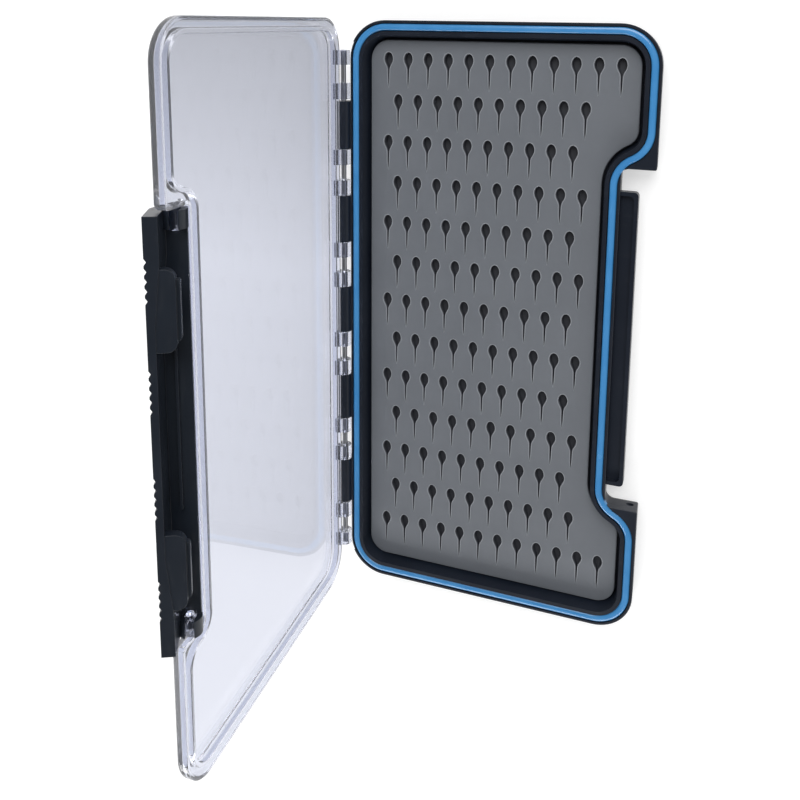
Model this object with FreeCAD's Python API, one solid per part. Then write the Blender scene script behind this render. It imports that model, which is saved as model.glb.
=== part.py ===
import FreeCAD, Part
import math
import os
from FreeCAD import Placement, Rotation, Vector

# Pocket fly box, lying on its back with the clear lid standing open.
# X runs from the hinge side to the free edge, Y along the box, Z out of the tray.
# The origin is the centre of the tray's flat back.

# Tray
tray_length = 188.8
tray_width = 96.2
tray_height = 8.4
tray_corner_radius = 12.1
tray_floor = 1.6
tray_wall_draft = 0.5
back_edge_radius = 2.0
back_edge_facet_count = 3
hinge_wall_step = 0.3
hinge_step_end_margin = 6.8
recess_depth = 10.0
recess_half_length = 53.0
recess_inner_radius = 2.2
ear_corner_radius = 0.6
smallest_ear_share = 0.1
rim_edge_radius = 0.2
cavity_inset = 4.6
cavity_wall_draft = 1.0

# Seal
seal_inset = 2.1
seal_width = 2.2
seal_crest = 0.05
seal_crown_bevel = 0.35
seal_bevel_share = 1.4
groove_depth = 1.6
groove_clearance = 0.15
turn_radius = 9.0
turn_middle = 55.8

# Slit insert and the tape under it
tape_thickness = 0.2
insert_thickness = 3.0
insert_inset = 6.0
tape_inset = 7.0
slot_pitch_x = 6.6
slot_pitch_y = 13.1
slot_row_count = 13
short_row_slot_count = 10
long_row_slot_count = 12
first_slot_x = -36.2
first_slot_y = 83.1
slot_depth = 2.2
slot_head_radius = 1.43
slot_head_length = 3.8
slot_tail_length = 5.9
slot_tail_width = 0.5
slot_head_facet_count = 4

# Catch flange in the tray's recess
catch_reach = 5.2
catch_half_length = 46.1
catch_drop = 0.85
catch_back = 3.6
catch_trough = 2.4
catch_lip = 1.2
catch_corner_radius = 1.3
trough_corner_radius = 1.6

# Lanyard hole through the lower ear
lanyard_radius = 0.9
lanyard_from_edge = 3.0
lanyard_depth_below_rim = 4.3
lanyard_turn = 45.0

# Lid
lid_thickness = 3.7
lid_panel = 1.5
lid_free_lip = 1.0
lid_end_lip = 0.6
lid_corner_radius = 10.5
lid_edge_radius = 1.4
lid_edge_facet_count = 3
lid_recess_depth = 9.5
lid_ear_radius = 1.5
lid_recess_corner_radius = 1.0
lid_rim_width = 3.9
lid_inner_draft = 0.7
closed_gap = 0.2
lid_open_angle = 87.3

# Hinge
hinge_gap = 0.2
barrel_radius = 2.2
knuckle_length = 15.3
knuckle_count = 5
knuckle_end_gap = 0.2
loop_length = 5.1
hinge_end_margin = 9.4
end_knuckle_gap = 0.65
end_window = 5.8
end_loop_length = 4.6
rod_radius = 0.9
rod_clearance = 0.05
rod_end_setback = 0.4
knuckle_web_depth = 4.8
lug_web_height = 3.0
web_sink = 0.6

# Latch pegs on the lid
peg_from_tray_edge = 4.7
peg_above_rim = 1.6
peg_radius = 1.4
peg_length = 5.3
peg_end_bevel = 0.4
peg_clearance = 0.1

# Latch bar
latch_open_angle = 66.0
latch_end_gap = 0.3
latch_past_tray = 0.9
latch_drop = 6.9
latch_top_radius = 2.4
latch_flange = 1.5
latch_flange_reach = 2.5
latch_wall = 1.9
latch_end_wall = 3.3
latch_thin_half_length = 28.0
latch_thick_start = 42.0
clip_radius = 2.9
clip_length = 4.4
clip_mouth = 2.2
rib_half_length = 20.0
rib_thickness = 0.7
rib_height = 1.2
rib_from_wall = 2.4

# Hooks on the latch bar
hook_middle = 31.4
hook_half_length = 9.5
hook_reach = 4.6
hook_thickness = 2.3
hook_above_tip = 0.3
hook_corner_radius = 2.4
nose_half_length = 7.0
nose_reach = 1.6
nose_clearance = 0.25
nose_thickness = 1.7
nose_corner_radius = 0.6

# Grip grooves on the latch bar
grip_group_count = 4
grip_group_pitch = 25.5
group_groove_count = 5
groove_pitch = 2.2
groove_half_width = 0.8
groove_bite = 0.55
groove_top_margin = 2.4

# How far cutting shapes run past what they cut, and the smallest gap that a line closes
overrun = 1.0
join_tolerance = 0.0001

# Places that follow from the sizes above
half_length = tray_length / 2
half_width = tray_width / 2
rim = tray_height
free_edge = half_width
hinge_edge = -half_width
recess_wall = free_edge - recess_depth
lid_free_edge = free_edge + lid_free_lip
lid_half_length = half_length + lid_end_lip
lid_hinge_edge = hinge_edge + hinge_wall_step
lid_recess_wall = lid_free_edge - lid_recess_depth
lid_bottom = rim + closed_gap
lid_top = rim + lid_thickness
hinge_x = lid_hinge_edge - hinge_gap - barrel_radius
hinge_axis = Vector(hinge_x, 0, rim)
end_loops_start = half_length - hinge_end_margin - loop_length - end_window - end_loop_length
last_knuckle = end_loops_start - end_knuckle_gap - knuckle_length / 2
knuckle_pitch = 2 * last_knuckle / (knuckle_count - 1)
peg_x = free_edge - peg_from_tray_edge
peg_z = rim + peg_above_rim
latch_axis = Vector(peg_x, 0, peg_z)
latch_face = free_edge + latch_past_tray
latch_half_length = recess_half_length - latch_end_gap
latch_tip = rim - latch_drop
insert_bottom = tray_floor + tape_thickness
insert_top = insert_bottom + insert_thickness


def arc(centre_x, centre_y, radius, start, end, z):
    """An arc in a level plane from one angle to another, in degrees."""
    def at(angle):
        turn = math.radians(angle)
        return Vector(centre_x + radius * math.cos(turn), centre_y + radius * math.sin(turn), z)
    middle_angle = (start + end) / 2
    return Part.Arc(at(start), at(middle_angle), at(end)).toShape()


def closed_wire(arcs):
    """Join arcs, in order, with straight lines into one closed wire."""
    edges = []
    for number, piece in enumerate(arcs):
        following = arcs[(number + 1) % len(arcs)]
        here = piece.valueAt(piece.LastParameter)
        there = following.valueAt(following.FirstParameter)
        edges.append(piece)
        if (there - here).Length > join_tolerance:
            edges.append(Part.makeLine(here, there))
    return Part.Wire(edges)


def corner_arcs(hinge_line, free_line, end_line, radius, z):
    """The four outer corner arcs, in turn: lower free, upper free, upper hinge, lower hinge."""
    right = free_line - radius
    left = hinge_line + radius
    top = end_line - radius
    return [
        arc(right, -top, radius, -90, 0, z),
        arc(right, top, radius, 0, 90, z),
        arc(left, top, radius, 90, 180, z),
        arc(left, -top, radius, 180, 270, z),
    ]


def recess_outline(hinge_line, free_line, recess_line, end_line, inset, radii, z):
    """Outline with a square recess in the free side, drawn inward by an inset."""
    corner_radius, inner_radius, ear_radius = radii
    ear = max(ear_radius - inset, join_tolerance + ear_radius * smallest_ear_share)
    inner = inner_radius + inset
    free = free_line - inset
    ear_end = recess_half_length + inset
    fillet_x = recess_line - inset + inner
    fillet_y = ear_end - inner
    corners = corner_arcs(hinge_line + inset, free, end_line - inset, corner_radius - inset, z)
    recess = [
        arc(free - ear, -ear_end - ear, ear, 0, 90, z),
        arc(fillet_x, -fillet_y, inner, 270, 180, z),
        arc(fillet_x, fillet_y, inner, 180, 90, z),
        arc(free - ear, ear_end + ear, ear, -90, 0, z),
    ]
    return closed_wire(corners[:1] + recess + corners[1:])


def turning_outline(hinge_line, free_line, recess_line, end_line, corner_radius, shift, z):
    """Outline that steps round the recess with two tangent arcs at each of its ends.

    The shift is how far this line lies inside the one whose arcs have the turn radius.
    """
    step = free_line - recess_line
    angle = math.degrees(math.acos(1 - step / (2 * turn_radius)))
    rise = turn_radius * math.sin(math.radians(angle))
    outer_x = free_line + shift - turn_radius
    inner_x = recess_line + shift + turn_radius
    outer_radius = turn_radius - shift
    inner_radius = turn_radius + shift
    outer_y = turn_middle + rise
    inner_y = turn_middle - rise
    corners = corner_arcs(hinge_line, free_line, end_line, corner_radius, z)
    turns = [
        arc(outer_x, -outer_y, outer_radius, 0, angle, z),
        arc(inner_x, -inner_y, inner_radius, 180 + angle, 180, z),
        arc(inner_x, inner_y, inner_radius, 180, 180 - angle, z),
        arc(outer_x, outer_y, outer_radius, -angle, 0, z),
    ]
    return closed_wire(corners[:1] + turns + corners[1:])


def tray_line(inset, z):
    """A line inside the tray that runs parallel to the seal."""
    return turning_outline(hinge_edge + inset, free_edge - inset, recess_wall - inset,
                           half_length - inset, tray_corner_radius - inset, inset - seal_inset, z)


def lid_line(inset, z):
    """A line inside the lid that runs parallel to the seal."""
    shift = inset - seal_inset - lid_free_lip
    return turning_outline(lid_hinge_edge + inset, lid_free_edge - inset, lid_recess_wall - inset,
                           lid_half_length - inset, lid_corner_radius - inset, shift, z)


def tray_outline(inset, z):
    """The tray's outer outline."""
    radii = (tray_corner_radius, recess_inner_radius, ear_corner_radius)
    return recess_outline(hinge_edge, free_edge, recess_wall, half_length, inset, radii, z)


def lid_outline(inset, z):
    """The lid's outer outline."""
    radii = (lid_corner_radius, lid_recess_corner_radius, lid_ear_radius)
    return recess_outline(lid_hinge_edge, lid_free_edge, lid_recess_wall, lid_half_length, inset, radii, z)


def prism(wire, height):
    """A solid raised from a level wire."""
    return Part.Face(wire).extrude(Vector(0, 0, height))


def tapered(lower, upper):
    """A solid with straight sides between two matching wires."""
    return Part.makeLoft([lower, upper], True, True)


def block(x_low, x_high, y_low, y_high, z_low, z_high):
    """A box given by its limits."""
    return Part.makeBox(x_high - x_low, y_high - y_low, z_high - z_low, Vector(x_low, y_low, z_low))


def rod(centre_x, centre_z, radius, y_low, y_high):
    """A round bar along the box."""
    return Part.makeCylinder(radius, y_high - y_low, Vector(centre_x, y_low, centre_z), Vector(0, 1, 0))


def slab(points, y_low, y_high):
    """A solid with one section, given as places across the box, between two lengths."""
    corners = [Vector(x, y_low, z) for x, z in points]
    face = Part.Face(Part.makePolygon(corners + corners[:1]))
    return face.extrude(Vector(0, y_high - y_low, 0))


def level_edges(shape, z):
    """All edges of a shape that lie wholly at one height."""
    found = []
    for edge in shape.Edges:
        bounds = edge.BoundBox
        if abs(bounds.ZMin - z) < join_tolerance and abs(bounds.ZMax - z) < join_tolerance:
            found.append(edge)
    return found


def upright_edges(shape, x, y):
    """All upright edges of a shape that stand over one place."""
    found = []
    for edge in shape.Edges:
        bounds = edge.BoundBox
        near = abs(bounds.Center.x - x) < join_tolerance and abs(bounds.Center.y - y) < join_tolerance
        if near and bounds.ZLength > join_tolerance and bounds.XLength < join_tolerance:
            found.append(edge)
    return found


def mirrored(shape):
    """A shape's twin at the other end of the box."""
    return shape.mirror(Vector(0, 0, 0), Vector(0, 1, 0))


def tangent_point(x, z, side):
    """Where a line from a place touches the hinge barrel; the side is 1 or -1."""
    across = hinge_x - x
    up = rim - z
    distance = math.hypot(across, up)
    reach = math.sqrt(distance ** 2 - barrel_radius ** 2)
    turn = math.atan2(up, across) + side * math.asin(barrel_radius / distance)
    return (x + reach * math.cos(turn), z + reach * math.sin(turn))


def tray_block():
    """The tray's outer form: drafted walls, back edge rounded in facets, softened rim edge."""
    levels = []
    for number in range(back_edge_facet_count + 1):
        turn = math.radians(90 * number / back_edge_facet_count)
        height = back_edge_radius * (1 - math.cos(turn))
        drafted = tray_wall_draft * (1 - height / rim)
        levels.append((drafted + back_edge_radius * (1 - math.sin(turn)), height))
    levels += [(0, rim - rim_edge_radius), (rim_edge_radius, rim)]
    return Part.makeLoft([tray_outline(inset, z) for inset, z in levels], True, True)


def stepped_tray():
    """The tray's outer form, set in a little along the hinge."""
    length = half_length - hinge_step_end_margin
    body = tray_block()
    hinge_side = block(hinge_edge - overrun, 0, -length, length, -overrun, rim + overrun)
    return body.cut(hinge_side.cut(body.translated(Vector(hinge_wall_step, 0, 0))))


def tray_cavity():
    """The room for the insert, a little wider at the rim."""
    slope = cavity_wall_draft / (rim - tray_floor)
    floor_line = tray_line(cavity_inset + cavity_wall_draft, tray_floor)
    top_line = tray_line(cavity_inset - slope * overrun, rim + overrun)
    return tapered(floor_line, top_line)


def seal_groove():
    """The groove round the rim that the seal lies in."""
    outer = seal_inset - seal_width / 2 - groove_clearance
    inner = seal_inset + seal_width / 2 + groove_clearance
    depth = groove_depth + overrun
    bottom = rim - groove_depth
    return prism(tray_line(outer, bottom), depth).cut(prism(tray_line(inner, bottom), depth))


def catch_flange():
    """The plate across the recess that the latch hooks under, with a raised lip round it."""
    outer = recess_wall + catch_reach
    length = catch_half_length
    top = rim - catch_drop
    plate = block(recess_wall - web_sink, outer, -length, length, rim - catch_back, top)
    corners = upright_edges(plate, outer, length) + upright_edges(plate, outer, -length)
    plate = plate.makeFillet(catch_corner_radius, corners)
    trough_x = outer - catch_lip
    trough_y = length - catch_lip
    trough = block(recess_wall, trough_x, -trough_y, trough_y, rim - catch_trough, top + overrun)
    corners = upright_edges(trough, trough_x, trough_y) + upright_edges(trough, trough_x, -trough_y)
    return plate.cut(trough.makeFillet(trough_corner_radius, corners))


def knuckle_web():
    """Section of the web below the rim plane that carries a knuckle."""
    root = lid_hinge_edge + web_sink
    foot = rim - knuckle_web_depth
    touch = tangent_point(lid_hinge_edge, foot, 1)
    return [(root, rim), (root, foot), (lid_hinge_edge, foot), touch, (hinge_x, rim)]


def lug_web():
    """Section of the web above the rim plane that carries a loop of the lid."""
    root = lid_hinge_edge + web_sink
    head = rim + lug_web_height
    touch = tangent_point(lid_hinge_edge, head, -1)
    return [(root, lid_bottom), (root, head), (lid_hinge_edge, head), touch, (hinge_x, rim),
            (lid_hinge_edge, lid_bottom)]


def hinge_barrel(section, y_low, y_high):
    """One knuckle or loop: a barrel on its web."""
    barrel = rod(hinge_x, rim, barrel_radius, y_low, y_high)
    return barrel.fuse(slab(section, y_low, y_high))


def rod_bore():
    """The hole along the hinge that the rod runs through."""
    return rod(hinge_x, rim, rod_radius + rod_clearance, -half_length, half_length)


def knuckle_middles():
    """Where the tray's knuckles stand along the box."""
    first = -knuckle_pitch * (knuckle_count - 1) / 2
    return [first + knuckle_pitch * number for number in range(knuckle_count)]


def base_shell():
    """The moulded tray with its groove, cavity, catch flange and knuckles."""
    tray = stepped_tray().cut(tray_cavity())
    tray = tray.cut(seal_groove())
    parts = [catch_flange()]
    for middle in knuckle_middles():
        parts.append(hinge_barrel(knuckle_web(), middle - knuckle_length / 2, middle + knuckle_length / 2))
    tray = tray.fuse(parts)
    start_x = free_edge - lanyard_from_edge
    turn = math.radians(lanyard_turn)
    toward = Vector(math.cos(turn), -math.sin(turn), 0)
    start = Vector(start_x, -recess_half_length, rim - lanyard_depth_below_rim) - toward * overrun
    reach = lanyard_from_edge / math.cos(turn) + 2 * overrun
    tray = tray.cut([rod_bore(), Part.makeCylinder(lanyard_radius, reach, start, toward)])
    return tray.removeSplitter()


def seal_gasket():
    """The seal: a band with bevelled crown edges, lying in the groove."""
    bottom = rim - groove_depth
    crest = rim + seal_crest
    shoulder = crest - seal_crown_bevel
    outer = seal_inset - seal_width / 2
    inner = seal_inset + seal_width / 2
    bevel = seal_crown_bevel * seal_bevel_share
    outside = Part.makeLoft([tray_line(outer, bottom), tray_line(outer, shoulder),
                             tray_line(outer + bevel, crest)], True, True)
    inside = Part.makeLoft([tray_line(inner, bottom), tray_line(inner, shoulder),
                            tray_line(inner - bevel, crest)], True, True)
    return outside.cut(inside)


def insert_tape():
    """The thin sheet of adhesive under the insert."""
    return prism(tray_line(tape_inset, tray_floor), tape_thickness)


def slot_outline(x, y, z):
    """A teardrop with a long tail, its faceted round head centred on a place."""
    tail = slot_tail_width / 2
    shoulder_y = y - slot_head_length
    end_y = shoulder_y - slot_tail_length
    points = []
    for number in range(slot_head_facet_count + 1):
        turn = math.radians(180 * number / slot_head_facet_count)
        points.append((x + slot_head_radius * math.cos(turn), y + slot_head_radius * math.sin(turn)))
    points += [(x - tail, shoulder_y), (x, end_y), (x + tail, shoulder_y)]
    corners = [Vector(point_x, point_y, z) for point_x, point_y in points]
    return Part.makePolygon(corners + corners[:1])


def slot_places():
    """Head centres of all slots: every second row is shifted by half a pitch."""
    places = []
    for row in range(slot_row_count):
        at_end = row in (0, slot_row_count - 1)
        count = long_row_slot_count if at_end else short_row_slot_count
        row_x = first_slot_x + (row % 2) * slot_pitch_x / 2
        row_y = first_slot_y - row * slot_pitch_y
        places += [(row_x + slot_pitch_x * number, row_y) for number in range(count)]
    return places


def slit_insert():
    """The grey sheet with its array of teardrop pockets."""
    sheet = prism(tray_line(insert_inset, insert_bottom), insert_thickness)
    pocket_floor = insert_top - slot_depth
    pockets = [prism(slot_outline(x, y, pocket_floor), slot_depth + overrun) for x, y in slot_places()]
    return sheet.cut(pockets)


def hinge_rod():
    """The steel rod through all knuckles and loops."""
    end = end_loops_start + loop_length + end_window + end_loop_length - rod_end_setback
    return rod(hinge_x, rim, rod_radius, -end, end)


def loop_ranges():
    """Lengths along the box that the lid's loops take up, two beside each window."""
    ranges = []
    for middle in knuckle_middles()[:-1]:
        low = middle + knuckle_length / 2
        high = middle + knuckle_pitch - knuckle_length / 2
        ranges.append((low + knuckle_end_gap, low + loop_length))
        ranges.append((high - loop_length, high - knuckle_end_gap))
    far = end_loops_start + loop_length + end_window
    for low, high in ((end_loops_start, end_loops_start + loop_length), (far, far + end_loop_length)):
        ranges += [(low, high), (-high, -low)]
    return ranges


def lid_shell():
    """The clear lid, drawn closed: panel, rim, hinge loops and latch pegs."""
    outlines = [lid_outline(0, lid_bottom)]
    for number in range(lid_edge_facet_count + 1):
        turn = math.radians(90 * number / lid_edge_facet_count)
        height = lid_top - lid_edge_radius * (1 - math.sin(turn))
        outlines.append(lid_outline(lid_edge_radius * (1 - math.cos(turn)), height))
    shell = Part.makeLoft(outlines, True, True)
    ceiling = lid_top - lid_panel
    slope = lid_inner_draft / (ceiling - lid_bottom)
    open_line = lid_line(lid_rim_width - slope * overrun, lid_bottom - overrun)
    shell = shell.cut(tapered(open_line, lid_line(lid_rim_width + lid_inner_draft, ceiling)))
    parts = [hinge_barrel(lug_web(), low, high) for low, high in loop_ranges()]
    peg_end = recess_half_length - peg_length
    peg = rod(peg_x, peg_z, peg_radius, peg_end, recess_half_length + web_sink)
    tip = [edge for edge in peg.Edges if abs(edge.BoundBox.YMax - peg_end) < join_tolerance]
    peg = peg.makeChamfer(peg_end_bevel, tip)
    parts += [peg, mirrored(peg)]
    return shell.fuse(parts).cut(rod_bore()).removeSplitter()


def latch_end(y_low, y_high):
    """A C-clip that grips a peg."""
    clip = rod(peg_x, peg_z, clip_radius, y_low, y_high)
    clip = clip.cut(block(peg_x - clip_radius, latch_face, y_low, y_high, lid_top, lid_top + clip_radius))
    low = peg_z - clip_radius - overrun
    return clip.cut(block(peg_x - clip_mouth / 2, peg_x + clip_mouth / 2, y_low, y_high, low, peg_z))


def thick_end():
    """Plan of the bar's thicker wall towards one end."""
    inner = latch_face - latch_wall
    thick = latch_face - latch_end_wall
    root = inner + web_sink
    plan = [(root, latch_thin_half_length), (inner, latch_thin_half_length), (thick, latch_thick_start),
            (thick, latch_half_length), (root, latch_half_length)]
    corners = [Vector(x, y, latch_tip) for x, y in plan]
    return prism(Part.makePolygon(corners + corners[:1]), lid_top - latch_flange - latch_tip + web_sink)


def latch_hook():
    """A rounded hook with the nose that catches under the flange."""
    inner = latch_face - latch_wall
    end = inner - hook_reach
    low = latch_tip + hook_above_tip
    y_low = hook_middle - hook_half_length
    y_high = hook_middle + hook_half_length
    hook = block(end, inner + web_sink, y_low, y_high, low, low + hook_thickness)
    corners = upright_edges(hook, end, y_low) + upright_edges(hook, end, y_high)
    hook = hook.makeFillet(hook_corner_radius, corners)
    nose_end = recess_wall + catch_reach - nose_reach
    nose_top = rim - catch_back - nose_clearance
    y_low = hook_middle - nose_half_length
    y_high = hook_middle + nose_half_length
    nose = block(nose_end, end + hook_corner_radius, y_low, y_high, nose_top - nose_thickness, nose_top)
    corners = upright_edges(nose, nose_end, y_low) + upright_edges(nose, nose_end, y_high)
    return hook.fuse(nose.makeFillet(nose_corner_radius, corners))


def grip_grooves():
    """The groups of shallow grooves across the bar's outer face."""
    outside = latch_face + overrun
    half_mouth = groove_half_width * (groove_bite + overrun) / groove_bite
    height = lid_top - groove_top_margin - latch_tip + overrun
    grooves = []
    for group in range(grip_group_count):
        group_middle = (group - (grip_group_count - 1) / 2) * grip_group_pitch
        for number in range(group_groove_count):
            y = group_middle + (number - (group_groove_count - 1) / 2) * groove_pitch
            section = [Vector(latch_face - groove_bite, y, latch_tip - overrun),
                       Vector(outside, y - half_mouth, latch_tip - overrun),
                       Vector(outside, y + half_mouth, latch_tip - overrun)]
            grooves.append(prism(Part.makePolygon(section + section[:1]), height))
    return grooves


def latch_bar():
    """The latch, drawn closed: a bar of angle section with clips, hooks, a rib and grip grooves."""
    length = latch_half_length
    flange_bottom = lid_top - latch_flange
    bar = block(latch_face - latch_wall, latch_face, -length, length, latch_tip, lid_top)
    bar = bar.fuse(block(peg_x - latch_flange_reach, latch_face, -length, length, flange_bottom, lid_top))
    bar = bar.removeSplitter()
    top_edges = [edge for edge in level_edges(bar, lid_top)
                 if abs(edge.BoundBox.XMin - latch_face) < join_tolerance and edge.BoundBox.YLength > length]
    bar = bar.makeFillet(latch_top_radius, top_edges)
    rib_x = latch_face - latch_wall - rib_from_wall
    rib = block(rib_x - rib_thickness, rib_x, -rib_half_length, rib_half_length,
                flange_bottom - rib_height, flange_bottom + web_sink)
    clip = latch_end(length - clip_length, length)
    parts = [rib]
    for piece in (clip, thick_end(), latch_hook()):
        parts += [piece, mirrored(piece)]
    bar = bar.fuse(parts)
    bore_start = recess_half_length - peg_length - latch_end_gap
    bore = rod(peg_x, peg_z, peg_radius + peg_clearance, bore_start, length + overrun)
    return bar.cut([bore, mirrored(bore)] + grip_grooves()).removeSplitter()


def with_lid(shape):
    """Turn a piece from its place on the closed box to the standing lid."""
    return shape.rotated(hinge_axis, Vector(0, -1, 0), lid_open_angle)


def with_latch(shape):
    """Swing the latch open on its pegs, then turn it with the lid."""
    return with_lid(shape.rotated(latch_axis, Vector(0, -1, 0), latch_open_angle))


pieces = {
    "base_shell": base_shell(),
    "seal_gasket": seal_gasket(),
    "slit_insert": slit_insert(),
    "insert_tape": insert_tape(),
    "hinge_rod": hinge_rod(),
    "lid_shell": with_lid(lid_shell()),
    "latch_bar": with_latch(latch_bar()),
}
os.makedirs("parts", exist_ok=True)
for name, shape in pieces.items():
    shape.exportStep("parts/" + name + ".step")
    bounds = shape.BoundBox
    print(name, len(shape.Solids), shape.isValid(), round(shape.Volume), bounds)
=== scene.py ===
import math

import bmesh
import bpy
import numpy as np
from mathutils import Matrix, Vector
from mathutils.geometry import delaunay_2d_cdt


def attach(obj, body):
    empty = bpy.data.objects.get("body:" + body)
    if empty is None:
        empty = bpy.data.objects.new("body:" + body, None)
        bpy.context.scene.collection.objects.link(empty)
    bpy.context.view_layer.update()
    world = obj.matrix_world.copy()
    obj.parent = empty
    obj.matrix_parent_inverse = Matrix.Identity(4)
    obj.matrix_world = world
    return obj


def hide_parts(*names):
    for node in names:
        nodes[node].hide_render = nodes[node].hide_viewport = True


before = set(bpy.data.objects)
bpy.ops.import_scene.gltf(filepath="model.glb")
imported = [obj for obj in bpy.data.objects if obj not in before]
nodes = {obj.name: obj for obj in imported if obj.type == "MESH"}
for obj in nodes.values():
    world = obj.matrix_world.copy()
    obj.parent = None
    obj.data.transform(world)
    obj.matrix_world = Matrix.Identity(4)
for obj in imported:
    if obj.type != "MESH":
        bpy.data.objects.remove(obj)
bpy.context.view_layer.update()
mm = 0.001
mergeGap = 1e-6  # points nearer than this become one
levelAngle = 0.3  # degrees, faces that turn by less are joined in copies of a node's form
print("frame loaded:", ", ".join(sorted(nodes)))


# camera, fitted to the tray's corners, the slots and the hinge line
cameraSet = {
    "place": (70.43, 94.67, 263.25),  # mm, in the box's own frame
    "yaw": -19.686,  # degrees, left is negative
    "pitch": 10.061,  # degrees down
    "roll": 0.729,
    "lens": 39.6225,  # mm
    "sensor": 36,
    "shift": (-0.0368, -0.28),
    "clip": (0.01, 10),  # metres
}


def makeCamera(settings):
    # looks along its yaw and pitch, then rolls about that line
    yaw, pitch, roll = (math.radians(settings[key]) for key in ("yaw", "pitch", "roll"))
    forward = Vector((math.sin(yaw) * math.cos(pitch), -math.sin(pitch), -math.cos(yaw) * math.cos(pitch)))
    level = forward.cross(Vector((0, 1, 0))).normalized()
    upright = level.cross(forward)
    right = level * math.cos(roll) + upright * math.sin(roll)
    up = upright * math.cos(roll) - level * math.sin(roll)
    data = bpy.data.cameras.new("viewCamera")
    data.sensor_width = settings["sensor"]
    data.lens = settings["lens"]
    data.shift_x, data.shift_y = settings["shift"]
    data.clip_start, data.clip_end = settings["clip"]
    camera = bpy.data.objects.new("viewCamera", data)
    turn = Matrix((right, up, -forward)).transposed().to_4x4()
    camera.matrix_world = Matrix.Translation(Vector(settings["place"]) * mm) @ turn
    bpy.context.scene.collection.objects.link(camera)
    bpy.context.scene.camera = camera


bpy.context.scene.view_settings.view_transform = "Standard"
makeCamera(cameraSet)
print("camera placed")


# shape helpers: lines and profiles are in millimetres, meshes in metres
def skinGrid(grid, closedProfile=True):
    # quads between neighbours in an array of points [profile, path, xyz]; the path always closes on itself
    rows, columns = grid.shape[:2]
    number = np.arange(rows * columns).reshape(rows, columns)
    here = number if closedProfile else number[:-1]
    across = np.roll(number, -1, axis=0) if closedProfile else number[1:]
    faces = np.stack((here, np.roll(here, -1, axis=1), np.roll(across, -1, axis=1), across), axis=2)
    return grid.reshape(-1, 3), faces.reshape(-1, 4)


def cappedGrid(grid):
    # the skin of an open profile, with one face across its first ring and one across its last
    points, faces = skinGrid(grid, closedProfile=False)
    size, count = grid.shape[1], len(points)
    return points, faces.tolist() + [list(range(size)), list(range(count - size, count))]


def arcPoints(centre, radius, start, end, count):
    # points on a circle's arc: the centre plus radius times cosine and sine of evenly spaced angles
    turn = np.radians(np.linspace(start, end, count))
    return np.column_stack((centre[0] + radius * np.cos(turn), centre[1] + radius * np.sin(turn)))


def arcRun(arcs, count):
    # arcs one after another, with a straight step from each arc's end to the next one's start
    return np.concatenate([arcPoints(*arc, count) for arc in arcs])


def atHeight(flat, height):
    return np.column_stack((flat, np.full(len(flat), height)))


def mergedForm(mesh):
    # a mesh as one skin, its double points merged
    form = bmesh.new()
    form.from_mesh(mesh)
    bmesh.ops.remove_doubles(form, verts=form.verts, dist=mergeGap)
    return form


def shadedMesh(form, mesh, sharp):
    # edges that turn by more than sharp degrees stay sharp, all others are shaded smooth
    form.to_mesh(mesh)
    form.free()
    mesh.shade_smooth()
    mesh.set_sharp_from_angle(angle=math.radians(sharp))
    return mesh


def pieceMesh(name, points, faces, sharp, finishNumbers=None):
    # a new mesh from points in millimetres, with its faces turned outward
    mesh = bpy.data.meshes.new(name)
    mesh.from_pydata((points * mm).tolist(), [], faces)
    if finishNumbers is not None:
        mesh.polygons.foreach_set("material_index", finishNumbers)
    form = mergedForm(mesh)
    bmesh.ops.recalc_face_normals(form, faces=form.faces)
    return shadedMesh(form, mesh, sharp)


def levelMesh(name, form, sharp):
    # a new mesh from a copied form, with the triangles of each level face joined
    bmesh.ops.dissolve_limit(form, angle_limit=math.radians(levelAngle), verts=form.verts, edges=form.edges)
    return shadedMesh(form, bpy.data.meshes.new(name), sharp)


def placePiece(mesh, body):
    # an object named as its mesh, riding on a body
    piece = bpy.data.objects.new(mesh.name, mesh)
    bpy.context.scene.collection.objects.link(piece)
    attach(piece, body)
    return piece


# outlines of the closed box, seen from above: seal and insert follow the tray's edge, the rim the lid's
trayPlan = {"halfLength": 94.4, "free": 48.1, "hinge": -48.1, "corner": 12.1, "recess": 10.0, "turn": 9.0,
            "turnMiddle": 55.8, "sealInset": 2.1, "arcPoints": 15}
lidPlan = {"halfLength": 95.0, "free": 49.1, "hinge": -47.8, "corner": 10.5, "recess": 9.5, "turn": 5.0,
           "turnMiddle": 56.3, "sealInset": 3.1, "arcPoints": 15, "earEnd": 53.0, "ear": 1.5, "inner": 1.0,
           "leastEar": 0.05}


def boxLine(plan, inset, recessArcs):
    # a closed line inside an edge: the lower free corner and the arcs at the recess's lower end,
    # the same arcs mirrored for the upper end, and the two corners at the hinge
    left, right, end = plan["hinge"] + inset, plan["free"] - inset, plan["halfLength"] - inset
    radius = plan["corner"] - inset
    lower = [((right - radius, radius - end), radius, -90, 0)] + recessArcs
    upper = [((x, -y), size, -last, -first) for (x, y), size, first, last in reversed(lower)]
    hinged = [((left + radius, end - radius), radius, 90, 180),
              ((left + radius, radius - end), radius, 180, 270)]
    return arcRun(lower + upper + hinged, plan["arcPoints"])


def smoothLine(plan, inset):
    # two equal arcs meet smoothly at the recess's end, where cos(angle) = 1 - recess / (2 turn)
    right, shift, turn = plan["free"] - inset, inset - plan["sealInset"], plan["turn"]
    angle = math.acos(1 - plan["recess"] / (2 * turn))
    reach, angle = turn * math.sin(angle), math.degrees(angle)
    outer = (right + shift - turn, -plan["turnMiddle"] - reach)
    inner = (right - plan["recess"] + shift + turn, reach - plan["turnMiddle"])
    return boxLine(plan, inset, [(outer, turn - shift, 0, angle), (inner, turn + shift, 180 + angle, 180)])


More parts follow.
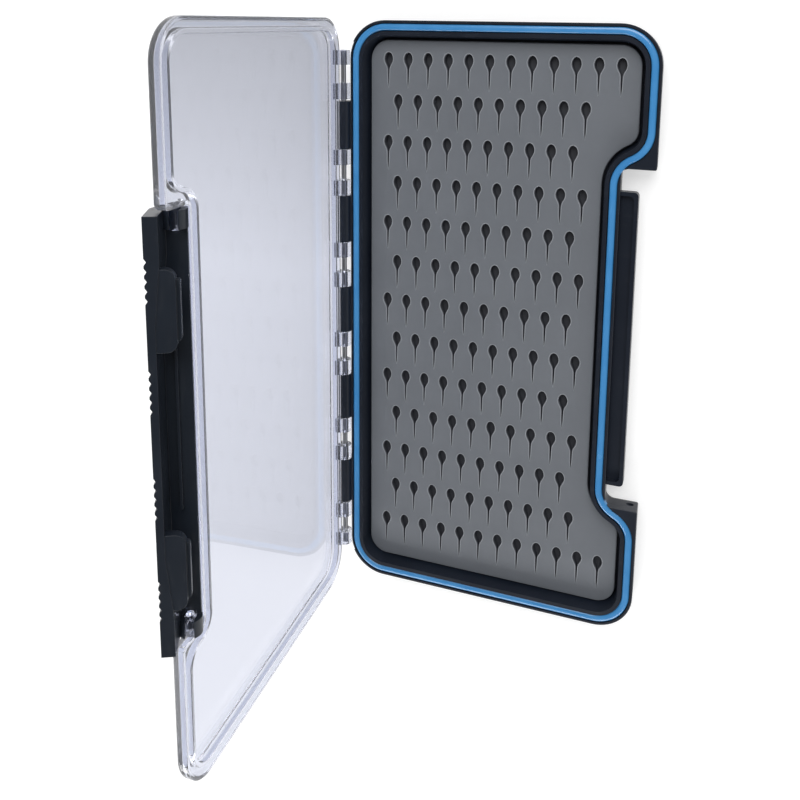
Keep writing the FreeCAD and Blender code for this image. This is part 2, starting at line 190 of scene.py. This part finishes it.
def squareLine(plan, inset):
    # the recess's end has a small outer ear arc and a small inner corner arc
    right, ear = plan["free"] - inset, max(plan["ear"] - inset, plan["leastEar"])
    inner = plan["inner"] + inset
    earArc = ((right - ear, -plan["earEnd"] - inset - ear), ear, 0, 90)
    innerArc = ((right - plan["recess"] + inner, plan["inner"] - plan["earEnd"]), inner, 270, 180)
    return boxLine(plan, inset, [earArc, innerArc])


def carried(line, plan, profile):
    # a profile of inset and height pairs, each carried round on its own line
    return np.stack([atHeight(line(plan, inset), height) for inset, height in profile])


# clear lid, made closed and then turned up about the hinge
lidShape = {
    "bottom": 8.6, "top": 12.1, "edge": 1.4, "edgePoints": 8, "panel": 1.25, "wall": 1.0, "rib": (2.8, 3.9),
    "channelGap": 0.2,  # from the channel's ceiling up to the panel
    "soft": 0.2, "fillet": 0.35, "draft": 0.12, "bendPoints": 4,
    "hinge": (-50.2, 0, 8.4), "open": 87.3,  # degrees
    "sharp": 40, "level": 0.9999,  # cosine, faces nearer to level than this are shaded flat
    "finish": "clear_plastic",
}
pegShape = {"place": (43.4, 10.0), "radius": 1.4, "start": 53.2, "end": 47.7, "bevel": 0.4,
            "firstBevelShare": 0.3, "around": 28, "sharp": 30}
loopShape = {"gap": 0.02, "sunk": 0.1, "cutReach": 1e-4, "sharp": 35}

lidTurn = math.radians(lidShape["open"])
lidHinge = np.array(lidShape["hinge"])
lidAcross = np.array((math.cos(lidTurn), 0, math.sin(lidTurn)))  # the closed lid's X axis, once it stands
lidUp = np.array((-math.sin(lidTurn), 0, math.cos(lidTurn)))  # its Z axis


def standing(points):
    # points of the closed lid turned up about the hinge: each coordinate is laid along its turned axis
    x, y, z = (points - lidHinge).T[..., None]
    return lidHinge + x * lidAcross + y * (0, 1, 0) + z * lidUp


def makeLid(shape):
    # one profile goes over the rounded edge, down the outer wall, round the channel and the rib,
    # and up to the panel; every bend is an arc of centre, radius, start and end
    soft, fillet, draft, (start, end) = shape["soft"], shape["fillet"], shape["draft"], shape["rib"]
    lip, ceiling = shape["bottom"] + soft, shape["top"] - shape["panel"] - fillet
    channel, edge = ceiling - shape["channelGap"], shape["edge"]
    overEdge = arcPoints((edge, shape["top"] - edge), edge, 90, 180, shape["edgePoints"])
    wallBends = [((soft, lip), soft, 180, 270),
                 ((shape["wall"] - soft, lip), soft, 270, 360),
                 ((shape["wall"] + draft + fillet, channel), fillet, 180, 90)]
    ribBends = [((start - draft - fillet, channel), fillet, 90, 0),
                ((start + soft, lip), soft, 180, 270),
                ((end - soft, lip), soft, 270, 360),
                ((end + draft + fillet, ceiling), fillet, 180, 90)]
    wall = np.concatenate((overEdge, arcRun(wallBends, shape["bendPoints"])))
    rib = arcRun(ribBends, shape["bendPoints"])
    skin = np.concatenate((carried(squareLine, lidPlan, wall), carried(smoothLine, lidPlan, rib)))
    points, faces = cappedGrid(skin)
    mesh = pieceMesh("clearLid", standing(points), faces, shape["sharp"])
    # level faces are shaded flat, so that only the curves are smooth
    normals = np.zeros(len(mesh.polygons) * 3)
    mesh.polygons.foreach_get("normal", normals)
    mesh.polygons.foreach_set("use_smooth", np.abs(normals.reshape(-1, 3) @ lidUp) < shape["level"])
    lid = placePiece(mesh, "lid")
    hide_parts("lid_shell")
    return lid


def makePeg(name, shape, side):
    # a round pin with a bevelled end that stands out of the lid's ear; each ring is the pin's line plus
    # a radius times cosine and sine
    turn = np.linspace(0, 2 * np.pi, shape["around"], endpoint=False)
    (x, z), radius, bevel = shape["place"], shape["radius"], shape["bevel"]
    first = bevel * shape["firstBevelShare"]
    rings = [(shape["start"], radius), (shape["end"] + bevel, radius),
             (shape["end"] + first, radius - first), (shape["end"], radius - bevel)]
    grid = np.stack([np.column_stack((x + size * np.cos(turn), np.full(len(turn), y * side),
                                      z + size * np.sin(turn))) for y, size in rings])
    points, faces = cappedGrid(grid)
    peg = placePiece(pieceMesh(name, standing(points), faces, shape["sharp"]), "lid")
    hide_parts("lid_shell")
    return peg


def makeLoops(shape):
    # the hinge loops are the node's own form, cut off just outside the lid's wall and sunk a little into it
    across = Vector(lidAcross)
    wall = Vector(lidHinge) * mm + across * (lidPlan["hinge"] - shape["gap"] - lidHinge[0]) * mm
    form = mergedForm(nodes["lid_shell"].data)
    whole = form.verts[:] + form.edges[:] + form.faces[:]
    cut = bmesh.ops.bisect_plane(form, geom=whole, dist=shape["cutReach"] * mm, plane_co=wall,
                                 plane_no=across, clear_outer=True)
    rim = [item for item in cut["geom_cut"] if isinstance(item, bmesh.types.BMEdge)]
    for vertex in {vertex for edge in rim for vertex in edge.verts}:
        vertex.co += across * shape["sunk"] * mm
    bmesh.ops.holes_fill(form, edges=rim, sides=0)
    loops = placePiece(levelMesh("lidLoops", form, shape["sharp"]), "lid")
    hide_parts("lid_shell")
    return loops


lidPieces = [makeLid(lidShape), makePeg("lidPegUpper", pegShape, 1), makePeg("lidPegLower", pegShape, -1),
             makeLoops(loopShape)]
print("lid made:", sum(len(piece.data.polygons) for piece in lidPieces), "faces")


# latch
latchShape = {"rounding": 0.18, "segments": 2, "sharp": 40, "flatArea": 12}  # area in square millimetres


def makeLatch(shape):
    # the node's own form with every moulded edge rounded a little; faces over the flat area are shaded flat
    mesh = levelMesh("latchMoulding", mergedForm(nodes["latch_bar"].data), shape["sharp"])
    area = np.zeros(len(mesh.polygons))
    mesh.polygons.foreach_get("area", area)
    mesh.polygons.foreach_set("use_smooth", area < shape["flatArea"] * mm * mm)
    latch = placePiece(mesh, "latch")
    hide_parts("latch_bar")
    rounding = latch.modifiers.new("moulded edges", "BEVEL")
    rounding.width = shape["rounding"] * mm
    rounding.segments = shape["segments"]
    rounding.limit_method = "ANGLE"
    rounding.angle_limit = math.radians(shape["sharp"])
    rounding.harden_normals = True
    return latch


latch = makeLatch(latchShape)
print("latch softened:", len(latch.data.polygons), "faces")


# seal
sealShape = {"middle": 2.1, "halfWidth": 1.1, "bottom": 6.8, "shoulder": 7.75, "crest": 8.45, "power": 2.1,
             "crownPoints": 13, "sharp": 60}


def makeSeal(shape):
    # the crown is half a rounded square: away**power + rise**power = 1 between the two shoulders
    away = np.sin(np.radians(np.linspace(-90, 90, shape["crownPoints"])))
    rise = np.clip(1 - np.abs(away) ** shape["power"], 0, 1) ** (1 / shape["power"])
    height = shape["shoulder"] + (shape["crest"] - shape["shoulder"]) * rise
    crown = np.column_stack((shape["middle"] + shape["halfWidth"] * away, height))
    foot = np.array([[crown[-1, 0], shape["bottom"]], [crown[0, 0], shape["bottom"]]])
    points, faces = skinGrid(carried(smoothLine, trayPlan, np.concatenate((crown, foot))))
    seal = placePiece(pieceMesh("sealBand", points, faces.tolist(), shape["sharp"]), "base")
    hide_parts("seal_gasket")
    return seal


seal = makeSeal(sealShape)
print("seal made:", len(seal.data.polygons), "faces")


# slit insert; a slot's heights run from its head's top to its tail's end, about its own place
insertShape = {"inset": 6.0, "bottom": 1.8, "top": 4.8, "edge": 0.4, "edgePoints": 4, "sharp": 35}
slotShape = {
    "firstX": -36.2, "firstY": 83.1, "pitchX": 6.6, "pitchY": 13.1,
    "rows": 13, "shortRow": 10, "longRow": 12,
    "headTop": 1.45, "wide": -0.75, "neck": -3.9, "end": -9.7, "headHalf": 1.43, "tailHalf": 0.25,
    "fallPower": 0.9, "headAngles": (90, 64, 42, 20), "headPoints": 5, "tailPoints": 4,
    "lip": 0.32, "lipRise": 0.05, "lipCrownShare": 0.4, "lipFall": 0.15, "depth": 2.2, "floorShare": 0.8,
    "nearMiddle": -4.1, "nearHalf": (2, 6),  # middle and half size of the space that is a slot's own
}


def slotPlaces(slots):
    # slot places row by row: every second row starts half a pitch further on
    row = np.arange(slots["rows"])
    count = np.where((row == 0) | (row == row[-1]), slots["longRow"], slots["shortRow"])
    place = np.arange(count.sum()) - np.repeat(np.cumsum(count) - count, count)
    row = np.repeat(row, count)
    return np.column_stack((slots["firstX"] + (row % 2 / 2 + place) * slots["pitchX"],
                            slots["firstY"] - row * slots["pitchY"]))


def slotHalf(slots, y):
    # half a slot's width at a height y: half an ellipse above the widest place, a cosine fall to the neck
    # below it, then a tail that thins to a point with the square root of what is left
    wide, neck, end = slots["wide"], slots["neck"], slots["end"]
    above = np.clip(1 - ((y - wide) / (slots["headTop"] - wide)) ** 2, 0, 1) ** 0.5
    fall = np.clip((wide - y) / (wide - neck), 0, 1)
    swell = (0.5 + 0.5 * np.cos(np.pi * fall)) ** slots["fallPower"]
    below = slots["tailHalf"] + (slots["headHalf"] - slots["tailHalf"]) * swell
    tail = slots["tailHalf"] * np.clip((y - end) / (neck - end), 0, 1) ** 0.5
    return np.where(y > wide, above * slots["headHalf"], np.where(y > neck, below, tail))


def slotRing(slots, grow, narrow, height):
    # one closed ring round a slot, down its right side and up its left: its width is multiplied by narrow,
    # then it moves out by grow along its normal
    wide, neck = slots["wide"], slots["neck"]
    top = wide + (slots["headTop"] - wide) * np.sin(np.radians(slots["headAngles"]))
    head = np.linspace(wide, neck, slots["headPoints"])
    tail = np.linspace(neck, slots["end"], slots["tailPoints"])
    y = np.concatenate((top, head, tail[1:]))
    x = slotHalf(slots, y) * narrow
    ring = np.concatenate((np.column_stack((x, y)), np.column_stack((-x, y))[-2:0:-1]))
    along = np.roll(ring, -1, axis=0) - np.roll(ring, 1, axis=0)
    normal = np.column_stack((-along[:, 1], along[:, 0])) / np.linalg.norm(along, axis=1, keepdims=True)
    return atHeight(ring + normal * grow, height)


def pocketFloor(size):
    # faces across a ring of size points, as a ladder from its first point down to the one opposite
    step = np.arange(1, size // 2 - 1)
    rungs = np.column_stack((step, step + 1, size - step - 1, size - step))
    return [[0, 1, size - 1]] + rungs.tolist() + [[size // 2 - 1, size // 2, size // 2 + 1]]


def slotPockets(slots, top, places):
    # every slot's skin, from the raised lip round it down its wall to its narrower floor;
    # the lip's faces get the second finish
    level = top - slots["lipRise"]
    rings = np.stack((slotRing(slots, slots["lip"], 1.0, level),
                      slotRing(slots, slots["lip"] * slots["lipCrownShare"], 1.0, top),
                      slotRing(slots, 0, 1.0, level - slots["lipFall"]),
                      slotRing(slots, 0, slots["floorShare"], top - slots["depth"])))
    points, sides = skinGrid(rings, closedProfile=False)
    size, floorStart = rings.shape[1], len(points) - rings.shape[1]
    faces = sides.tolist() + [[corner + floorStart for corner in face] for face in pocketFloor(size)]
    numbers = ([1] * (2 * size) + [0] * (len(faces) - 2 * size)) * len(places)
    allPoints = (points[None] + atHeight(places, 0)[:, None]).reshape(-1, 3)
    starts = range(0, len(allPoints), len(points))
    allFaces = [[corner + start for corner in face] for start in starts for face in faces]
    return allPoints, allFaces, numbers, rings[0][:, :2]


def outsideSlots(points, slots, places, ring):
    # true where a point lies outside the slot nearest to it: a ray to the right crosses the slot's ring
    # an even number of times
    away = points[:, None] - places[None] - (0, slots["nearMiddle"])
    nearest = np.argmin(np.max(np.abs(away) / slots["nearHalf"], axis=2), axis=1)
    x, y = (points - places[nearest]).T[:, :, None]
    (x1, y1), (x2, y2) = ring.T[:, None], np.roll(ring, -1, axis=0).T[:, None]
    with np.errstate(divide="ignore", invalid="ignore"):
        crossed = ((y1 > y) != (y2 > y)) & (x < (x2 - x1) * (y - y1) / (y2 - y1) + x1)
    return crossed.sum(axis=1) % 2 == 0


def sheetNet(outline, slots, places, ring):
    # the level sheet is a triangle net over the outline and all slots' rings, less the slots themselves
    border, size = np.arange(len(outline)), len(ring)
    flat = np.concatenate((outline, (ring + places[:, None]).reshape(-1, 2)))
    start = np.repeat(np.arange(len(places)) * size + len(outline), size)
    step = np.tile(np.arange(size), len(places))
    edges = np.concatenate((np.column_stack((border, (border + 1) % len(outline))),
                            np.column_stack((start + step, start + (step + 1) % size))))
    net = delaunay_2d_cdt([Vector(point) for point in flat.tolist()], edges.tolist(), [], 1, mergeGap)
    points, triangles = np.array([tuple(point) for point in net[0]]), np.array(net[2])
    return points, triangles[outsideSlots(points[triangles].mean(axis=1), slots, places, ring)]


def makeInsert(shape, slots):
    # the slots' pockets, the outer wall with its rounded edge and bottom, and the level sheet between them
    places, level, edge = slotPlaces(slots), shape["top"] - slots["lipRise"], shape["edge"]
    pockets, faces, numbers, ring = slotPockets(slots, shape["top"], places)
    rounded = arcPoints((shape["inset"] + edge, level - edge), edge, 180, 90, shape["edgePoints"])
    wallGrid = carried(smoothLine, trayPlan, np.concatenate(([[shape["inset"], shape["bottom"]]], rounded)))
    wall, wallFaces = skinGrid(wallGrid, closedProfile=False)
    sheet, triangles = sheetNet(wallGrid[-1][:, :2], slots, places, ring)
    start = len(pockets)
    faces += (wallFaces + start).tolist() + [list(range(start, start + wallGrid.shape[1]))]
    faces += (triangles + start + len(wall)).tolist()
    numbers += [0] * (len(faces) - len(numbers))
    points = np.concatenate((pockets, wall, atHeight(sheet, level)))
    mesh = pieceMesh("slitSheet", points, faces, shape["sharp"], numbers)
    insert = placePiece(mesh, "base")
    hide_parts("slit_insert")
    return insert


insert = makeInsert(insertShape, slotShape)
print("insert made:", len(insert.data.polygons), "faces")


# shader helpers
class Signal:
    # a socket that can be used in sums, so that shader maths reads as plain arithmetic
    def __init__(self, finish, socket):
        self.finish, self.socket = finish, socket

    def sum(self, operation, first, second):
        return self.finish.add("Math", {"operation": operation}, {0: first, 1: second})

    def __add__(self, other):
        return self.sum("ADD", self, other)

    def __sub__(self, other):
        return self.sum("SUBTRACT", self, other)

    def __rsub__(self, other):
        return self.sum("SUBTRACT", other, self)

    def __mul__(self, other):
        return self.sum("MULTIPLY", self, other)

    __radd__ = __add__
    __rmul__ = __mul__

    def most(self, other):
        return self.sum("MAXIMUM", self, other)

    def ramp(self, start, end, low, high, curve="LINEAR"):
        # low up to the start, high from the end on, and a straight or soft change between them
        inputs = {0: self, 1: start, 2: end, 3: low, 4: high}
        return self.finish.add("MapRange", {"interpolation_type": curve}, inputs)

    def above(self, edge, softness):
        # 0 below the edge, 1 above it, with a soft step
        return self.ramp(edge - softness, edge + softness, 0, 1, "SMOOTHSTEP")


class Finish:
    # the nodes of one material, or of the world, that end in one shader
    def __init__(self, name, owners=bpy.data.materials, kind="Material"):
        self.owner = owners.new(name)
        self.owner.use_nodes = True
        self.tree = self.owner.node_tree
        self.tree.nodes.clear()
        self.end = self.tree.nodes.new("ShaderNodeOutput" + kind)

    def plug(self, value, socket):
        if isinstance(value, Signal):
            self.tree.links.new(value.socket, socket)
        else:
            socket.default_value = value

    def add(self, kind, settings, inputs, output=0):
        made = self.tree.nodes.new("ShaderNode" + kind)
        for key, value in settings.items():
            setattr(made, key, value)
        for key, value in inputs.items():
            self.plug(value, made.inputs[key])
        return Signal(self, made.outputs[output])

    def coordinates(self, kind="Object"):
        return self.add("TexCoord", {}, {}, kind)

    def axis(self, number, kind="Object"):
        return self.add("SeparateXYZ", {}, {0: self.coordinates(kind)}, number)

    def ray(self, kind):
        # 1 for rays of this kind, 0 for all others
        return self.add("LightPath", {}, {}, "Is " + kind + " Ray")

    def noise(self, scale, detail=2, roughness=0.5, stretch=(1, 1, 1)):
        # a grain of about 1/scale metres, drawn out along any axis
        place = self.add("Mapping", {}, {"Vector": self.coordinates(), "Scale": stretch})
        inputs = {"Vector": place, "Scale": scale, "Detail": detail, "Roughness": roughness}
        return self.add("TexNoise", {}, inputs)

    def mix(self, factor, first, second):
        return self.add("Mix", {"data_type": "RGBA"}, {0: factor, 6: first, 7: second}, 2)

    def bump(self, height, strength, distance):
        return self.add("Bump", {}, {"Height": height, "Strength": strength, "Distance": distance})

    def close(self, inputs, kind="BsdfPrincipled"):
        self.plug(self.add(kind, {}, inputs), self.end.inputs["Surface"])
        return self.owner


def ink(red, green, blue):
    # a colour as it is seen, 0 to 255, turned to the linear value that shaders use
    def linear(value):
        value = value / 255
        return value / 12.92 if value <= 0.04045 else ((value + 0.055) / 1.055) ** 2.4
    return (linear(red), linear(green), linear(blue), 1.0)


# moulded plastic and silicone; a noise's numbers are grains per metre, detail, roughness and stretch,
# an edge's are its place and softness, a bump's its strength and its depth in metres
trayLook = {"dark": ink(20, 25, 35), "pale": ink(29, 35, 46), "cloud": (60, 4), "grain": 2500,
            "rubAndHighlight": (400, 3, 0.6, (0.25, 1, 1)), "rubEdge": (0.62, 0.06), "rubGloss": 0.1,
            "gloss": 0.34, "glossSpread": 0.12, "ior": 1.4, "bump": (0.25, 0.00004)}
latchLook = {"dark": ink(24, 29, 37), "pale": ink(33, 39, 48), "cloud": (90, 3), "grain": 3200,
             "rubAndHighlight": (500, 3, 0.6, (1, 0.2, 1)), "rubEdge": (0.6, 0.08), "rubGloss": 0.12,
             "gloss": 0.3, "glossSpread": 0.1, "ior": 1.4, "bump": (0.2, 0.00003)}
sealLook = {"dark": ink(46, 120, 180), "pale": ink(72, 144, 200), "cloud": (120, 3), "grain": 1500,
            "gloss": 0.24, "glossSpread": 0.15, "ior": 1.7, "bump": (0.15, 0.00004)}


def mouldedFinish(name, look):
    # soft clouds of colour and gloss and a fine moulded grain; plastic has rubbed streaks that shine less
    finish = Finish(name)
    cloud = finish.noise(*look["cloud"])
    colour = finish.mix(cloud, look["dark"], look["pale"])
    roughness = look["gloss"] + (cloud - 0.5) * look["glossSpread"]
    if "rubAndHighlight" in look:
        roughness += finish.noise(*look["rubAndHighlight"]).above(*look["rubEdge"]) * look["rubGloss"]
    normal = finish.bump(finish.noise(look["grain"]), *look["bump"])
    return finish.close({"Base Color": colour, "Roughness": roughness, "IOR": look["ior"], "Normal": normal})


# adhesive tape and drawn steel
tapeLook = {"dark": ink(176, 176, 168), "pale": ink(196, 196, 190), "streak": (600, 3, 0.6, (1, 0.2, 1)),
            "gloss": 0.7, "glossSpread": 0.1, "metallic": 0.0, "bump": (0.2, 0.00004)}
rodLook = {"dark": ink(176, 177, 180), "pale": ink(206, 207, 210), "streak": (3000, 3, 0.6, (1, 0.03, 1)),
           "gloss": 0.24, "glossSpread": 0.12, "metallic": 1.0, "bump": (0.15, 0.00002)}


def streakedFinish(name, look):
    # fine streaks in colour, gloss and height
    finish = Finish(name)
    streak = finish.noise(*look["streak"])
    return finish.close({"Base Color": finish.mix(streak, look["dark"], look["pale"]),
                         "Roughness": look["gloss"] + streak * look["glossSpread"],
                         "Metallic": look["metallic"], "Normal": finish.bump(streak, *look["bump"])})


# insert: the dark colour is painted shade inside a slot, the pale tone of the lips is a painted highlight,
# with the lips' share of it given
insertLook = {"grey": ink(93, 97, 103), "pale": ink(105, 109, 115), "pocketShade": ink(50, 52, 58),
              "rubAndHighlight": ink(140, 143, 148), "lipHighlight": 0.65, "highlightSpread": 0.3, "cloud": (70, 4),
              "grain": (900, 3), "grainShare": 0.3, "shadeEdge": (4.35, 0.315), "gloss": 0.62,
              "glossSpread": 0.12, "bump": (0.2, 0.00006)}


def insertFinish(look, name, paler):
    # grey clouds and grain, a painted highlight on the lips, and painted shade below a height in
    # millimetres, with a soft change
    finish = Finish(name)
    cloud = finish.noise(*look["cloud"])
    grain = finish.noise(*look["grain"])
    blend = cloud * (1 - look["grainShare"]) + grain * look["grainShare"]
    surface = finish.mix(blend, look["grey"], look["pale"])
    if paler:
        # painted highlight: the lips turn paler, by their share plus a little cloud
        surface = finish.mix(cloud * look["highlightSpread"] + paler, surface, look["rubAndHighlight"])
    # painted shade: everything below the height, inside the slots, is darkened
    unshaded = (finish.axis(2) * (1 / mm)).above(*look["shadeEdge"])
    return finish.close({"Base Color": finish.mix(unshaded, look["pocketShade"], surface),
                         "Roughness": look["gloss"] + (grain - 0.5) * look["glossSpread"],
                         "Normal": finish.bump(grain, *look["bump"])})


clearLook = {"tint": ink(221, 224, 236), "haze": (160, 3, 0.6), "hazeEdge": (0.62, 0.1), "hazeGloss": 0.03,
             "gloss": 0.015, "wave": (25, 1), "ior": 1.33, "alpha": 0.95, "shade": 0.12,
             "bump": (0.06, 0.0002)}


def clearFinish(look):
    # clear plastic with faint haze and waves; its shadow is pale, because rays to a lamp pass most of it
    finish = Finish("clearPlastic")
    haze = finish.noise(*look["haze"]).above(*look["hazeEdge"])
    alpha = look["alpha"] - finish.ray("Shadow") * (look["alpha"] - look["shade"])
    return finish.close({"Base Color": look["tint"], "Roughness": look["gloss"] + haze * look["hazeGloss"],
                         "Transmission Weight": 1.0, "IOR": look["ior"], "Alpha": alpha,
                         "Normal": finish.bump(finish.noise(*look["wave"]), *look["bump"])})


nodeFinishes = {
    "base_shell": mouldedFinish("trayPlastic", trayLook),
    "insert_tape": streakedFinish("adhesiveTape", tapeLook),
    "hinge_rod": streakedFinish("drawnSteel", rodLook),
}
for name, material in nodeFinishes.items():
    nodes[name].data.materials.clear()
    nodes[name].data.materials.append(material)
seal.data.materials.append(mouldedFinish("sealSilicone", sealLook))
clear = clearFinish(clearLook)
for piece in lidPieces:
    piece.data.materials.append(clear)
latch.data.materials.append(mouldedFinish("latchPlastic", latchLook))
insert.data.materials.append(insertFinish(insertLook, "insertSilicone", 0))
insert.data.materials.append(insertFinish(insertLook, "insertLips", insertLook["lipHighlight"]))
print("finishes made")


# floor, backdrop and light, in metres
floorLook = {
    "halfSize": 3.0,
    "below": 0.0001,  # under the box, so that the two never share a plane
    "grey": (0.6, 0.6, 0.6, 1.0),
    "roughness": 0.9,
    "specular": 0.1,
    "lift": 0.5,  # how far camera and reflections see it lifted, near the box
    "farLift": 0.8,
    "far": (0.4, 1.3),  # where the lift changes from near to far
    "clearY": (0.108, 0.008),  # painted shade seen through clear plastic: where the lift comes in, from the box's upper end down
    "clearMost": 0.9,
    "clearNear": (0.3, 0.5),  # further off it sees the whole lift
}
worldLook = {"light": 0.5, "high": 0.1, "wallTop": (0.12, 0.5)}
lamps = {
    "softTop": {"place": (0.15, 0.7, 0.75), "size": (0.7, 0.7), "power": 7.2},
    "softStrip": {"place": (-0.12, -0.9, 0.42), "size": (1.0, 0.28), "power": 5.4},
}


def makeFloor(look):
    # the camera and reflections see the floor lifted to white, more so far off where the lamps don't reach;
    # clear plastic sees the lift fade beside the box's upper end, as painted shade
    half, level = look["halfSize"], -look["below"]
    corners = [(-half, -half, level), (half, -half, level), (half, half, level), (-half, half, level)]
    mesh = bpy.data.meshes.new("paleFloor")
    mesh.from_pydata(corners, [], [(0, 1, 2, 3)])
    floor = bpy.data.objects.new("paleFloor", mesh)
    bpy.context.scene.collection.objects.link(floor)
    paint = Finish("floorPaint")
    away = paint.add("VectorMath", {"operation": "LENGTH"}, {0: paint.coordinates()}, "Value")
    # painted shade: through clear plastic, the floor looks darker beside the box's upper end
    fade = paint.axis(1).ramp(*look["clearY"], 0, look["clearMost"])
    clear = fade.most(away.ramp(*look["clearNear"], 0, 1))
    direct = paint.ray("Camera").most(paint.ray("Glossy"))
    seen = paint.ray("Transmission").ramp(0, 1, direct, clear)
    lift = away.ramp(*look["far"], look["lift"], look["farLift"])
    mesh.materials.append(paint.close({"Base Color": look["grey"], "Roughness": look["roughness"],
                                       "Specular IOR Level": look["specular"], "Emission Color": seen * lift,
                                       "Emission Strength": 1.0}))


def makeWorld(look):
    # reflections and clear plastic see white walls below a dark ceiling, the camera sees white all over
    sky = Finish("paleStudio", bpy.data.worlds, "World")
    walls = sky.axis(2, "Generated").ramp(*look["wallTop"], 1, look["high"])
    mirrored = sky.ray("Glossy").most(sky.ray("Transmission")).ramp(0, 1, look["light"], walls)
    seen = sky.ray("Camera").ramp(0, 1, mirrored, 1)
    bpy.context.scene.world = sky.close({"Color": (1, 1, 1, 1), "Strength": seen}, "Background")


def makeLamp(name, settings):
    # a soft lamp turned to the middle of the box
    data = bpy.data.lights.new(name, "AREA")
    data.shape = "RECTANGLE"
    data.size, data.size_y = settings["size"]
    data.energy = settings["power"]
    lamp = bpy.data.objects.new(name, data)
    lamp.location = Vector(settings["place"])
    lamp.rotation_euler = (-Vector(settings["place"])).to_track_quat("-Z", "Y").to_euler()
    bpy.context.scene.collection.objects.link(lamp)


makeFloor(floorLook)
makeWorld(worldLook)
for name, settings in lamps.items():
    makeLamp(name, settings)
print("floor and lights placed")
